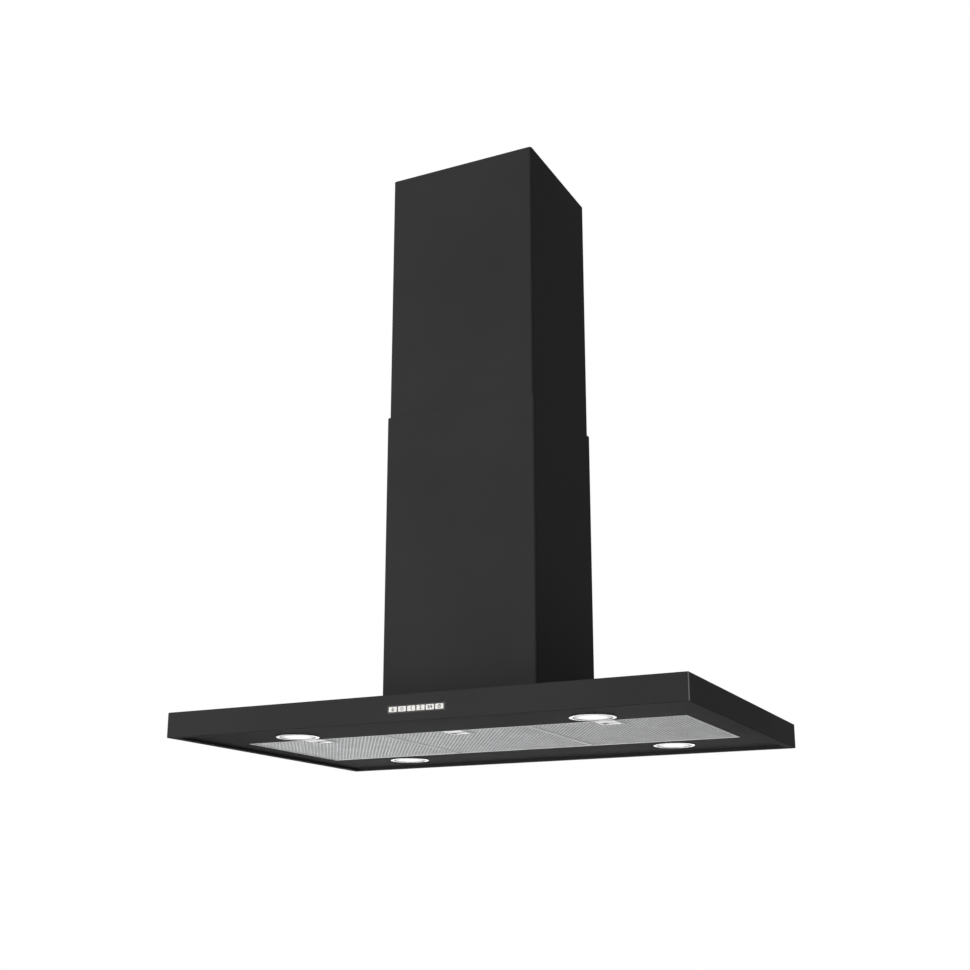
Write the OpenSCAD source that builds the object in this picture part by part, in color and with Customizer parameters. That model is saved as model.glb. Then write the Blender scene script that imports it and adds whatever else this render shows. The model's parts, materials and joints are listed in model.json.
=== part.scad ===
// Ceiling-hung chimney range hood: a flat steel canopy under a telescoping
// chimney, with a fan, lamps, grease filters and push buttons.
// The origin is the middle of the ceiling plate's top face. Z points up and
// the front of the hood faces -Y. Heights named _h in the Chimney and Frame
// sections are taken from the underside of the canopy.

/* [Canopy] */
// Width of the canopy
canopy_w = 900; // [860:10:1000]
// Depth of the canopy
canopy_d = 600; // [570:10:660]
// Height of the canopy's rim
canopy_h = 42; // [40:1:50]
// Thickness of the canopy's sheet
canopy_t = 1.2; // [1:0.1:1.5]
// Outer radius of the rim's upright corners
corner_r = 3; // [2:0.5:5]
// Width of the lip that is folded in under the rim
lip_w = 14; // [10:1:18]
// Height of the underside panel above the lip's lower face
recess_h = 4; // [3:0.5:6]
// Thickness of the underside panel
panel_t = 1; // [0.8:0.1:1.2]

/* [Chimney] */
// Height from the canopy's underside to the ceiling
total_h = 1040; // [1020:5:1080]
// Height of the lower cover's top edge
step_h = 570; // [550:5:590]
// Height of the upper cover's lower edge, inside the lower cover
upper_end_h = 520; // [500:5:535]
// Outer width of the lower cover
lower_w = 286; // [276:1:300]
// Outer depth of the lower cover
lower_d = 248; // [244:1:260]
// Thickness of the covers' sheet
cover_t = 1; // [0.8:0.1:1.2]
// Gap between the two covers at the front and sides
cover_gap = 2; // [1.8:0.1:2.4]
// Outer radius of the covers' front corners
cover_r = 5; // [3:0.5:6]
// Width of the flanges folded in at the covers' rear edges
flange_w = 25; // [22:1:28]

/* [Frame] */
// Thickness of the ceiling plate
plate_t = 3; // [2.5:0.5:4]
// Left to right distance between the ceiling bolts
bolt_x = 190; // [186:1:200]
// Front to back distance between the ceiling bolts
bolt_y = 160; // [150:1:164]
// Radius of the ceiling bolts' holes
bolt_r = 4; // [3:0.5:5]
// Radius of the duct's hole in the ceiling plate
duct_hole_r = 80; // [78:1:84]
// Thickness of the uprights
upright_t = 2; // [1.6:0.1:2.2]
// Width of an upper upright's two legs
upper_leg = 22; // [21:1:24]
// Width of a lower upright's two legs
lower_leg = 20; // [18:1:21]
// Gap between the upper cover and the upper uprights
head_gap = 5; // [4.5:0.1:5.5]
// Gap between an upper and a lower upright
slide_gap = 0.4; // [0.3:0.05:0.5]
// Height of the upper uprights' lower ends
upper_foot_h = 420; // [400:5:440]
// Height of the lower uprights' upper ends
lower_top_h = 620; // [600:5:640]
// How far the canopy can be raised on the frame
raise_travel = 150; // [120:5:160]

/* [Fan] */
// Height of the motor box above the canopy
box_h = 290; // [280:5:300]
// Thickness of the motor box's sheet
box_t = 1; // [0.8:0.1:1.2]
// Outer radius of the outlet collar
collar_r = 75; // [72:1:76]
// Height of the outlet collar's tube
collar_h = 50; // [45:1:55]
// Thickness of the outlet collar's wall
collar_t = 1.5; // [1.2:0.1:2]
// Radius of the impeller
impeller_r = 70; // [66:1:72]
// Width of the impeller
impeller_w = 104; // [96:2:110]
// Number of blades round the impeller
blades = 36; // [24:1:40]
// Width of the fan housing
scroll_w = 130; // [124:2:136]
// Thickness of the fan housing's wall
scroll_t = 2.5; // [2:0.1:3]
// Radius of the motor's body
motor_r = 40; // [36:1:44]
// Radius of the motor's shaft
shaft_r = 4; // [3:0.5:5]

/* [Filters] */
// Distance from the canopy's sides to the filters
side_border = 55; // [50:1:70]
// Distance from the canopy's front and rear to the filters
end_border = 156; // [152:1:160]
// Thickness of a filter
filter_t = 9; // [8:0.5:10]
// Gap between neighbouring filters
filter_gap = 0.5; // [0.4:0.1:1]
// Width of a filter frame's flanges
border_w = 4; // [3.5:0.5:6]
// Thickness of a filter frame's sheet
skin_t = 1; // [0.8:0.1:1.2]
// Rows and columns of gaps in a filter's net
net_count = 10; // [6:1:10]
// Width of a strand of the net
strand_w = 3; // [2:0.5:4]
// Width of a latch
latch_w = 34; // [30:1:40]
// Depth of a latch
latch_d = 38; // [34:1:42]
// How far a latch slides
latch_travel = 6; // [4:0.5:7]

/* [Lamps] */
// Radius of a lamp's bezel
bezel_r = 36; // [34:0.5:40]
// Radius of the hole that a lamp sits in
lamp_hole_r = 33; // [32.8:0.1:33.5]
// Distance from the rim's front or rear face to a lamp's centre
lamp_inset = 109; // [100:1:112]

/* [Buttons] */
// Width of a button
button_w = 14.2; // [13:0.1:15]
// Height of a button
button_h = 8.2; // [7.5:0.1:9.5]
// Distance between neighbouring buttons
button_pitch = 16; // [15.6:0.1:18]
// How far a button can be pressed
press_travel = 1.5; // [1:0.1:2]
// Distance of the buttons' middle from the canopy's middle, to the right
button_shift = 21; // [0:0.5:60]

/* [Hidden] */

$fn = 72;

// Colours
black_steel = [0.17, 0.17, 0.18];
zinc_steel = [0.68, 0.69, 0.70];
silver = [0.75, 0.76, 0.77];
dark_plastic = [0.12, 0.12, 0.13];
board_green = [0.10, 0.35, 0.20];
button_white = [0.90, 0.89, 0.87];
copper_red = [0.55, 0.20, 0.12];
fan_grey = [0.3, 0.3, 0.32];

// Levels, measured from the ceiling plate's top face
base_z = -total_h;
canopy_top_z = base_z + canopy_h;
panel_z = base_z + recess_h;
panel_top_z = panel_z + panel_t;
box_top_z = canopy_top_z + box_h;

// Cuts run this far past the face that they open
over = 1;
// Gap left between pieces that are fitted by hand
fit = 0.2;
// Gap between a turning pin and its hole
run_gap = 0.05;

// Upper cover, frame and motor box, each inside the one before
upper_w = lower_w - 2 * (cover_t + cover_gap);
upper_d = lower_d - 2 * (cover_t + cover_gap);
frame_w = upper_w - 2 * (cover_t + head_gap);
frame_d = upper_d - 2 * (cover_t + head_gap);
inner_w = frame_w - 2 * (upright_t + slide_gap);
inner_d = frame_d - 2 * (upright_t + slide_gap);
box_w = inner_w - 2 * upright_t;
box_d = inner_d - 2 * upright_t;

// Screws: shaft and head of the small size, and of the cover screws
screw_r = 2;
screw_head_r = 3.6;
screw_head_h = 2.2;
cover_screw_r = 1.75;
cover_head_r = 3.5;
cover_head_h = 1.5;
cover_screw_inset = 14;
hole_gap = 0.1;
// Length of a screw past the last sheet that it holds
screw_end = 1;
fan_screw_end = 2;

// Ceiling plate
plate_gap = 1;
tab_w = 34;
tab_h = 20;
plate_w = upper_w - 2 * (cover_t + plate_gap);
plate_d = upper_d - 4 * cover_t;
plate_r = cover_r - cover_t - plate_gap;
cover_screw_edge = 5.5;
cover_screw_x = upper_w / 2 - cover_t - flange_w + cover_screw_edge;
upper_screws = [for (x = [-1, 1]) [x * cover_screw_x, -cover_screw_inset]];
lower_screw_x = lower_w / 2 - cover_t - flange_w / 2;
lower_screws = [for (x = [-1, 1], z = [base_z + step_h - cover_screw_inset, canopy_top_z + cover_screw_inset])
    [x * lower_screw_x, z]];

// Uprights: the feet are folded outwards, and the clamping screws stand on them
foot_w = 9;
upright_screw_y = inner_d / 2 - lower_leg / 2;
clamp_r = 2.5;
clamp_head_r = 5;
clamp_head_h = 3;
nut_r = 4.6;
nut_h = 3;
slot_gap = 0.6;
clamp_inset = 20;
clamp_low_h = upper_foot_h + clamp_inset;
clamp_high_h = lower_top_h - clamp_inset;

// Screws that hold the motor box to the lower uprights
box_screw_lift = 48;
box_screw_drop = 30;
box_screw_low_h = canopy_h + box_screw_lift;
box_screw_high_h = upper_foot_h - raise_travel - box_screw_drop;

// Fan housing: the spiral grows from the tongue to the outlet's right wall
scroll_gap = 4;
outlet_half = collar_r;
tongue_angle = 60;
spiral_step = 10;
spiral_r0 = impeller_r + scroll_gap;
spiral_growth = 34;
spiral_r1 = spiral_r0 + spiral_growth;
spiral_seam_angle = tongue_angle + 6 * spiral_step;
fan_x = outlet_half - spiral_r1;
fan_lift = 105;
fan_z = canopy_top_z + fan_lift;
scroll_top_z = box_top_z - box_t;
flare_rise = 8;
flare_z = fan_z + spiral_r1 + flare_rise;
tongue_t = 4;
inlet_lap = 10;
inlet_r = impeller_r - inlet_lap;
blade_len = 12;
blade_t = 1.2;
blade_turn = 35;
hub_t = 3;
hub_r = 12;
hub_len = 10;
ring_t = 2;

// Motor and its bracket
motor_gap = 6;
motor_len = scroll_w / 2 - motor_gap;
shaft_len = 46;
shaft_end = -hub_len;
bracket_t = 2;
bracket_hub_r = 30;
bracket_arm_w = 12;
bracket_lap = 13;
bracket_screw_inset = 5;
bracket_r = inlet_r + bracket_lap;
bracket_screw_r = bracket_r - bracket_screw_inset;
bracket_angles = [90, 210, 330];
motor_boss_r = 13;

// Outlet collar and damper flaps
collar_flange = 8;
flap_gap = 1;
flap_r = collar_r - collar_t - flap_gap;
flap_t = 1.2;
flap_lift = 12;
flap_z = box_top_z + collar_t + flap_lift;
pivot_x = 3.2;
pivot_r = 2;
barrel_r = 2.6;
seat_w = 4;
seat_t = 1.5;
flap_seat_gap = 0.3;
flange_half = collar_r + collar_flange;
collar_screw_places = [for (x = [-1, 1], y = [-1, 1])
    [x * (flange_half - collar_flange), y * (flange_half - collar_flange)]];

// Filters: a filter turns about its rounded rear edge
filters = 3;
filters_w = canopy_w - 2 * side_border;
filter_w = (filters_w - (filters - 1) * filter_gap) / filters;
filter_d = canopy_d - 2 * end_border;
filter_pitch = filter_w + filter_gap;
open_gap = 2;
front_gap = 1;
hinge_y = filter_d / 2 - filter_t / 2;
hinge_z = panel_z + filter_t / 2;
front_y = -filter_d / 2;
mesh_t = filter_t - 2 * skin_t;
mesh_end_y = hinge_y - filter_t / 2;

// Filter rails
rail_t = 1.2;
rail_foot = 10;
cradle_gap = 0.3;
cradle_low = -25;

// Latches
latch_slack = 0.4;
latch_proud = 0.8;
latch_wing = 1.5;
latch_wing_t = 2;
latch_side_gap = 0.3;
pocket_w = latch_w + 2 * latch_side_gap;
pocket_d = latch_d + latch_travel + 2 * latch_slack;
wing_room_w = latch_w + 2 * latch_wing + 2 * latch_side_gap;
housing_w = wing_room_w + 2 * skin_t;
housing_d = pocket_d + 2 * skin_t;
wing_z = panel_z + filter_t - skin_t - latch_wing_t - latch_slack;
tongue_w = 20;
tongue_reach = 0.6;
finger_w = 26;
finger_d = 20;
finger_h = 6;
finger_wall = 1.8;

// Lamps: centred on the outer filters
lamp_x = filter_pitch;
lamp_y = canopy_d / 2 - lamp_inset;
bezel_t = 1.2;
lamp_wall = 1.4;
lamp_gap = 0.4;
lens_gap = 0.8;
lamp_tube_r = lamp_hole_r - lamp_gap;
lamp_h = 16;
lens_r = lamp_tube_r - lamp_wall - lens_gap;
lens_t = 2.2;
lens_inset = 0.2;
lens_rest = 1;
board_inset = 2;
seat_r = lens_r - lens_rest;
led_board_r = lens_r - board_inset;
board_t = 1.6;
led_w = 2.8;
led_h = 0.7;
leds = 12;
led_ring_share = 0.7;
led_ring_r = led_board_r * led_ring_share;
clip_w = 8;
clip_t = 1;
clip_reach = 6;
clip_top = 10;

// Buttons: their frame lies flush with the rim's front face
rim_y = -canopy_d / 2;
button_drop = 2;
button_z = base_z + canopy_h / 2 - button_drop;
buttons = 6;
button_proud = 0.8;
button_round = 1;
bezel_edge = 2;
frame_plate_t = 1.5;
frame_lip = 4;
frame_depth = 14;
switch_w = buttons * button_pitch + 2 * bezel_edge;
switch_h = button_h + 2 * bezel_edge;
frame_back_y = rim_y + frame_depth;
button_flange = 1.8;
button_flange_t = 1.5;
stem_r = 2.5;
switch_size = 6;
switch_len = 3.5;
stem_end_y = frame_back_y - switch_len - press_travel - fit;

// Control box on top of the underside panel
control_w = 150;
control_d = 80;
control_h = 26;
control_t = 1.5;
control_lamp_gap = 17.5;
control_x = -lamp_x + bezel_r + control_lamp_gap + control_w / 2;
control_lap = 6;
control_y = -lamp_y - control_d / 2 + control_lap;

// Wire loom
wire_r = 2.5;
wire_bend = 20;
wire_lift = 22;
wire_side_gap = 20;
wire_end_gap = 0.25;
supply_shift = 25;
wire_z = panel_top_z + wire_lift;
side_run_x = filters_w / 2 + wire_side_gap;
lamp_wire_z = panel_z + lamp_h + lamp_wall;
gland_inset_x = 20;
gland_inset_y = 16;
gland_x = -box_w / 2 + gland_inset_x;
gland_y = -box_d / 2 + gland_inset_y;
gland_r = 9;
gland_nut_h = 6;
gland_bore_r = 4;
gland_stem_r = 6;

// A rectangle with round corners
module round_rect(w, d, r) {
    square([w - 2 * r, d], center = true);
    square([w, d - 2 * r], center = true);
    for (x = [-1, 1], y = [-1, 1])
        translate([x * (w / 2 - r), y * (d / 2 - r)]) circle(r);
}

// A rectangle whose two front corners are round
module cover_outline(w, d, r) {
    translate([-w / 2, -d / 2 + r]) square([w, d - r]);
    translate([-w / 2 + r, -d / 2]) square([w - 2 * r, d]);
    for (x = [-1, 1])
        translate([x * (w / 2 - r), -d / 2 + r]) circle(r);
}

// Puts a piece made for the rear right corner at the corner of signs sx and sy
module at_corner(sx, sy) {
    if (sx < 0 && sy < 0) rotate([0, 0, 180]) children();
    else if (sx < 0) mirror([1, 0, 0]) children();
    else if (sy < 0) mirror([0, 1, 0]) children();
    else children();
}

// Extrudes an outline drawn in Y and Z along X, about the middle
module along_x(len) {
    translate([-len / 2, 0, 0]) rotate([90, 0, 90]) linear_extrude(len) children();
}

// Extrudes an outline drawn in X and Z along Y, from y0 to y1
module along_y(y0, y1) {
    translate([0, y1, 0]) rotate([90, 0, 0]) linear_extrude(y1 - y0) children();
}

// A screw along Z: its head lies above zero and its shaft below
module screw(r, len, head_r, head_h) {
    translate([0, 0, -len]) cylinder(r = r, h = len);
    cylinder(r = head_r, h = head_h);
}

// Ceiling plate, with two tabs at the rear for the upper cover's screws
module ceiling_plate() color(zinc_steel) {
    difference() {
        translate([0, 0, -plate_t]) linear_extrude(plate_t) difference() {
            cover_outline(plate_w, plate_d, plate_r);
            circle(duct_hole_r);
            for (x = [-1, 1], y = [-1, 1])
                translate([x * bolt_x / 2, y * bolt_y / 2]) circle(bolt_r);
            translate([gland_x, gland_y]) circle(gland_r);
        }
    }
    for (x = [-1, 1])
        difference() {
            translate([x * cover_screw_x - tab_w / 2, plate_d / 2 - upright_t, -plate_t - tab_h])
                cube([tab_w, upright_t, tab_h + plate_t / 2]);
            translate([x * cover_screw_x, plate_d / 2 + over, -cover_screw_inset])
                rotate([90, 0, 0]) cylinder(r = cover_screw_r + hole_gap, h = upright_t + 2 * over);
        }
}

// An angle's outline at the rear right corner of a w by d frame
module angle_outline(w, d, leg, t) {
    translate([w / 2 - leg, d / 2 - t]) square([leg, t]);
    translate([w / 2 - t, d / 2 - leg]) square([t, leg]);
}

// Upper upright: an angle with a long slot for the two clamping screws
module upper_upright(sx, sy) color(zinc_steel) at_corner(sx, sy)
    difference() {
        translate([0, 0, base_z + upper_foot_h])
            linear_extrude(total_h - upper_foot_h - plate_t)
                angle_outline(frame_w, frame_d, upper_leg, upright_t);
        translate([frame_w / 2 + over, upright_screw_y, 0]) rotate([0, -90, 0])
            linear_extrude(upright_t + 2 * over) {
                low = base_z + clamp_low_h;
                high = base_z + clamp_high_h + raise_travel;
                translate([low, 0]) circle(clamp_r + slot_gap);
                translate([high, 0]) circle(clamp_r + slot_gap);
                translate([low, -clamp_r - slot_gap]) square([high - low, 2 * (clamp_r + slot_gap)]);
            }
    }

// Lower upright: an angle with a folded foot on the canopy
module lower_upright(sx, sy) color(zinc_steel) at_corner(sx, sy)
    difference() {
        union() {
            translate([0, 0, canopy_top_z]) linear_extrude(lower_top_h - canopy_h)
                angle_outline(inner_w, inner_d, lower_leg, upright_t);
            translate([inner_w / 2 - upright_t, inner_d / 2 - lower_leg, canopy_top_z])
                cube([foot_w + upright_t, lower_leg, upright_t]);
        }
        for (h = [clamp_low_h, clamp_high_h])
            translate([inner_w / 2 + over, upright_screw_y, base_z + h]) rotate([0, -90, 0])
                cylinder(r = clamp_r + hole_gap, h = upright_t + 2 * over);
        for (h = [box_screw_low_h, box_screw_high_h])
            translate([inner_w / 2 + over, upright_screw_y, base_z + h]) rotate([0, -90, 0])
                cylinder(r = screw_r + hole_gap, h = upright_t + 2 * over);
        translate([inner_w / 2 + foot_w / 2, upright_screw_y, canopy_top_z - over])
            cylinder(r = screw_r + hole_gap, h = upright_t + 2 * over);
    }

// Clamping screws that hold the upper and lower uprights together, and their nuts
module clamp_places()
    for (sx = [-1, 1], sy = [-1, 1], h = [clamp_low_h, clamp_high_h])
        at_corner(sx, sy) translate([0, upright_screw_y, base_z + h]) rotate([0, 90, 0]) children();
module frame_screws() color(silver)
    clamp_places() translate([0, 0, frame_w / 2])
        screw(clamp_r, frame_w / 2 - inner_w / 2 + upright_t + nut_h, clamp_head_r, clamp_head_h);
module frame_nuts() color(silver)
    clamp_places() translate([0, 0, inner_w / 2 - upright_t - nut_h]) difference() {
        cylinder(r = nut_r, h = nut_h, $fn = 6);
        translate([0, 0, -over]) cylinder(r = clamp_r + run_gap, h = nut_h + 2 * over, $fn = 36);
    }

// Screws of the uprights' feet and of the motor box
module body_screws() color(silver)
    for (sx = [-1, 1], sy = [-1, 1]) at_corner(sx, sy) {
        translate([inner_w / 2 + foot_w / 2, upright_screw_y, canopy_top_z + upright_t])
            screw(screw_r, upright_t + canopy_t + screw_end, screw_head_r, screw_head_h);
        for (h = [box_screw_low_h, box_screw_high_h])
            translate([inner_w / 2, upright_screw_y, base_z + h]) rotate([0, 90, 0])
                screw(screw_r, upright_t + box_t + screw_end, screw_head_r, screw_head_h);
    }

// Front and side walls of a chimney cover, with flanges at the rear
module cover_front(w, d, z0, z1, screws) color(black_steel)
    difference() {
        translate([0, 0, z0]) linear_extrude(z1 - z0) difference() {
            translate([0, -cover_t / 2]) cover_outline(w, d - cover_t, cover_r);
            translate([0, -cover_t / 2]) cover_outline(w - 2 * cover_t, d - 3 * cover_t, cover_r - cover_t);
            translate([-w / 2 + cover_t + flange_w, 0])
                square([w - 2 * (cover_t + flange_w), d]);
        }
        for (p = screws)
            translate([p[0], d / 2 + over, p[1]]) rotate([90, 0, 0])
                cylinder(r = cover_screw_r + hole_gap, h = 2 * (cover_t + over));
    }

// Flat rear wall of a chimney cover
module cover_rear(w, d, z0, z1, screws) color(black_steel)
    difference() {
        translate([-w / 2, d / 2 - cover_t, z0]) cube([w, cover_t, z1 - z0]);
        for (p = screws)
            translate([p[0], d / 2 + over, p[1]]) rotate([90, 0, 0])
                cylinder(r = cover_screw_r + hole_gap, h = cover_t + 2 * over);
    }

// Screws through a cover's rear wall, of a given length
module cover_screws(d, screws, len) color(dark_plastic)
    for (p = screws)
        translate([p[0], d / 2, p[1]]) rotate([-90, 0, 0])
            screw(cover_screw_r, len, cover_head_r, cover_head_h);

module upper_chimney_front() cover_front(upper_w, upper_d, base_z + upper_end_h, 0, upper_screws);
module upper_chimney_rear() cover_rear(upper_w, upper_d, base_z + upper_end_h, 0, upper_screws);
module upper_chimney_screws() cover_screws(upper_d, upper_screws, 2 * cover_t + upright_t + screw_end);
module lower_chimney_front() cover_front(lower_w, lower_d, canopy_top_z, base_z + step_h, lower_screws);
module lower_chimney_rear() cover_rear(lower_w, lower_d, canopy_top_z, base_z + step_h, lower_screws);
module lower_chimney_screws() cover_screws(lower_d, lower_screws, 2 * cover_t);

// Canopy: top, rim, folded lip and the lip's upturned edge
module canopy_shell() color(black_steel)
    difference() {
        translate([0, 0, base_z]) {
            linear_extrude(canopy_h) difference() {
                round_rect(canopy_w, canopy_d, corner_r);
                round_rect(canopy_w - 2 * canopy_t, canopy_d - 2 * canopy_t, corner_r - canopy_t);
            }
            translate([0, 0, canopy_h - canopy_t]) linear_extrude(canopy_t) difference() {
                round_rect(canopy_w, canopy_d, corner_r);
                square([box_w - 2 * box_t, box_d - 2 * box_t], center = true);
            }
            linear_extrude(canopy_t) difference() {
                round_rect(canopy_w, canopy_d, corner_r);
                square([canopy_w - 2 * lip_w, canopy_d - 2 * lip_w], center = true);
            }
            linear_extrude(recess_h) difference() {
                square([canopy_w - 2 * (lip_w - canopy_t), canopy_d - 2 * (lip_w - canopy_t)],
                    center = true);
                square([canopy_w - 2 * lip_w, canopy_d - 2 * lip_w], center = true);
            }
        }
        translate([button_shift - switch_w / 2 - fit, rim_y - over, button_z - switch_h / 2 - fit])
            cube([switch_w + 2 * fit, canopy_t + 2 * over, switch_h + 2 * fit]);
        for (sx = [-1, 1], sy = [-1, 1])
            translate([sx * (inner_w / 2 + foot_w / 2), sy * upright_screw_y,
                canopy_top_z - canopy_t - over])
                cylinder(r = screw_r + hole_gap, h = canopy_t + 2 * over);
    }

// Panel inside the lip, open for the filters and the lamps
module underside_panel() color(black_steel)
    translate([0, 0, panel_z]) linear_extrude(panel_t) difference() {
        round_rect(canopy_w - 2 * (canopy_t + fit), canopy_d - 2 * (canopy_t + fit), corner_r);
        square([filters_w + 2 * open_gap, filter_d + 2 * open_gap], center = true);
        for (x = [-1, 1], y = [-1, 1])
            translate([x * lamp_x, y * lamp_y]) circle(lamp_hole_r);
    }

// Angle in front of the filters, which the latches face
module filter_rail_front() color(zinc_steel)
    along_x(filters_w + 2 * open_gap) {
        translate([front_y - front_gap - rail_foot - open_gap, panel_top_z])
            square([rail_foot + open_gap, rail_t]);
        translate([front_y - front_gap - rail_t, panel_top_z]) square([rail_t, filter_t - panel_t]);
    }

// Cradle behind the filters: a round seat that their rear edges turn in
module filter_rail_rear() color(zinc_steel)
    along_x(filters_w + 2 * open_gap) {
        inner = filter_t / 2 + cradle_gap;
        outer = inner + rail_t;
        translate([hinge_y, hinge_z]) intersection() {
            difference() {
                circle(outer);
                circle(inner);
            }
            polygon([[0, 0], [2 * outer * cos(cradle_low), 2 * outer * sin(cradle_low)],
                [2 * outer, 2 * outer], [0, 2 * outer]]);
        }
        translate([hinge_y + inner, panel_top_z]) square([rail_t, hinge_z - panel_top_z]);
        translate([hinge_y + inner, panel_top_z]) square([rail_foot, rail_t]);
    }

// Motor box: open below, with a round hole for the collar
module motor_box() color(zinc_steel)
    difference() {
        translate([0, 0, canopy_top_z]) {
            linear_extrude(box_h) difference() {
                square([box_w, box_d], center = true);
                square([box_w - 2 * box_t, box_d - 2 * box_t], center = true);
            }
            translate([0, 0, box_h - box_t]) linear_extrude(box_t) difference() {
                square([box_w, box_d], center = true);
                circle(collar_r - collar_t);
                translate([gland_x, gland_y]) circle(gland_stem_r + hole_gap);
                for (p = collar_screw_places)
                    translate(p) circle(screw_r + hole_gap);
            }
        }
        for (sx = [-1, 1], sy = [-1, 1], h = [box_screw_low_h, box_screw_high_h])
            at_corner(sx, sy) translate([box_w / 2 + over, upright_screw_y, base_z + h])
                rotate([0, -90, 0]) cylinder(r = screw_r + hole_gap, h = box_t + 2 * over);
    }

// Radius of the spiral at an angle, with an extra for the wall
function spiral(a, extra) =
    spiral_r0 + extra + spiral_growth * (a - tongue_angle) / (360 - tongue_angle);
function spiral_point(a, extra) =
    [fan_x + spiral(a, extra) * cos(a), fan_z + spiral(a, extra) * sin(a)];

// Air space of the fan housing, and its outside
function air_outline() = concat(
    [for (a = [tongue_angle:spiral_step:360]) spiral_point(a, 0)],
    [[outlet_half, scroll_top_z + over], [-outlet_half, scroll_top_z + over], [-outlet_half, flare_z],
    spiral_point(tongue_angle, 0) + [0, tongue_t]]);
function case_outline() = concat(
    [for (a = [spiral_seam_angle:spiral_step:360]) spiral_point(a, scroll_t)],
    [[outlet_half + scroll_t, scroll_top_z], [-outlet_half - scroll_t, scroll_top_z],
    [-outlet_half - scroll_t, flare_z]]);

// Half of the fan housing, with an inlet in its side plate
module scroll_half(side) color(dark_plastic) {
    y_face = side * scroll_w / 2;
    y_in = y_face - side * scroll_t;
    difference() {
        along_y(min(0, y_face), max(0, y_face)) polygon(case_outline());
        along_y(min(-side * over, y_in), max(-side * over, y_in)) polygon(air_outline());
        along_y(min(0, y_face + side * over), max(0, y_face + side * over)) {
            translate([fan_x, fan_z]) circle(inlet_r);
            if (side > 0)
                for (a = bracket_angles)
                    translate([fan_x + bracket_screw_r * cos(a), fan_z + bracket_screw_r * sin(a)])
                        circle(screw_r + hole_gap);
        }
    }
}
module scroll_front() scroll_half(-1);
module scroll_rear() scroll_half(1);

// Motor: a round can with a bore for the shaft
module motor() color(copper_red)
    translate([fan_x, motor_gap, fan_z]) rotate([-90, 0, 0]) difference() {
        union() {
            cylinder(r = motor_r, h = motor_len);
            translate([0, 0, -motor_gap / 2]) cylinder(r = motor_boss_r, h = motor_gap / 2);
        }
        translate([0, 0, -motor_gap]) cylinder(r = shaft_r + run_gap, h = shaft_len);
    }

// Three-armed bracket behind the motor
module motor_bracket() color(zinc_steel)
    along_y(scroll_w / 2, scroll_w / 2 + bracket_t) translate([fan_x, fan_z]) difference() {
        union() {
            circle(bracket_hub_r);
            for (a = bracket_angles) rotate(a) {
                translate([0, -bracket_arm_w / 2]) square([bracket_r, bracket_arm_w]);
            }
        }
        for (a = bracket_angles) rotate(a)
            translate([bracket_screw_r, 0]) circle(screw_r + hole_gap);
    }

// Impeller: a slotted disc with a boss in the middle, strips for blades, and two end rings
module at_fan() translate([fan_x, 0, fan_z]) rotate([-90, 0, 0]) children();
module blade_strips(len, gap)
    for (i = [0:blades - 1]) rotate([0, 0, i * 360 / blades])
        translate([impeller_r - blade_len / 2, 0, -len / 2]) rotate([0, 0, blade_turn])
            translate([-blade_len / 2 + blade_t - gap, -blade_t / 2 - gap, 0])
                cube([blade_len - 2 * blade_t + 2 * gap, blade_t + 2 * gap, len]);
module impeller_hub() color(fan_grey)
    at_fan() difference() {
        union() {
            translate([0, 0, -hub_t / 2]) cylinder(r = impeller_r, h = hub_t);
            translate([0, 0, -hub_len]) cylinder(r = hub_r, h = hub_len);
        }
        translate([0, 0, -hub_len - over]) cylinder(r = shaft_r + hole_gap / 2, h = hub_len + hub_t + over);
        blade_strips(hub_t + 2 * over, run_gap);
    }
module impeller_blades() color(fan_grey)
    at_fan() blade_strips(impeller_w - 2 * ring_t, 0);
module impeller_rings() color(fan_grey)
    at_fan() for (z = [-impeller_w / 2, impeller_w / 2 - ring_t])
        translate([0, 0, z]) linear_extrude(ring_t) difference() {
            circle(impeller_r);
            circle(impeller_r - blade_len);
        }

// Shaft from the hub into the motor
module motor_shaft() color(silver)
    translate([fan_x, shaft_end, fan_z]) rotate([-90, 0, 0]) cylinder(r = shaft_r, h = shaft_len);

// Outlet collar: a flange on the motor box and a tube for the duct
module outlet_collar() color(dark_plastic)
    difference() {
        translate([0, 0, box_top_z]) {
            linear_extrude(collar_t) difference() {
                square([2 * flange_half, 2 * flange_half], center = true);
                circle(collar_r - collar_t);
                for (p = collar_screw_places)
                    translate(p) circle(screw_r + hole_gap);
            }
            linear_extrude(collar_t + collar_h) difference() {
                circle(collar_r);
                circle(collar_r - collar_t);
            }
            translate([0, 0, flap_z - flap_seat_gap - seat_t - box_top_z]) linear_extrude(seat_t)
                difference() {
                    circle(collar_r - collar_t / 2);
                    circle(collar_r - collar_t - seat_w);
                }
        }
        for (x = [-1, 1])
            translate([x * pivot_x, collar_r, flap_z + flap_t / 2]) rotate([90, 0, 0])
                cylinder(r = pivot_r + run_gap, h = 2 * collar_r, $fn = 36);
    }

// Half-round damper flap that opens upwards, turning on two end pins
module damper_flap(side) color(silver) {
    translate([0, 0, flap_z]) linear_extrude(flap_t) intersection() {
        circle(flap_r);
        translate([side > 0 ? pivot_x : -pivot_x - flap_r, -flap_r]) square([flap_r, 2 * flap_r]);
    }
    translate([side * pivot_x, flap_r - seat_w, flap_z + flap_t / 2]) rotate([90, 0, 0])
        cylinder(r = barrel_r, h = 2 * (flap_r - seat_w), $fn = 36);
    translate([side * pivot_x, collar_r - collar_t / 2, flap_z + flap_t / 2]) rotate([90, 0, 0])
        cylinder(r = pivot_r, h = 2 * (collar_r - collar_t / 2), $fn = 36);
}
module damper_flap_left() damper_flap(-1);
module damper_flap_right() damper_flap(1);

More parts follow.
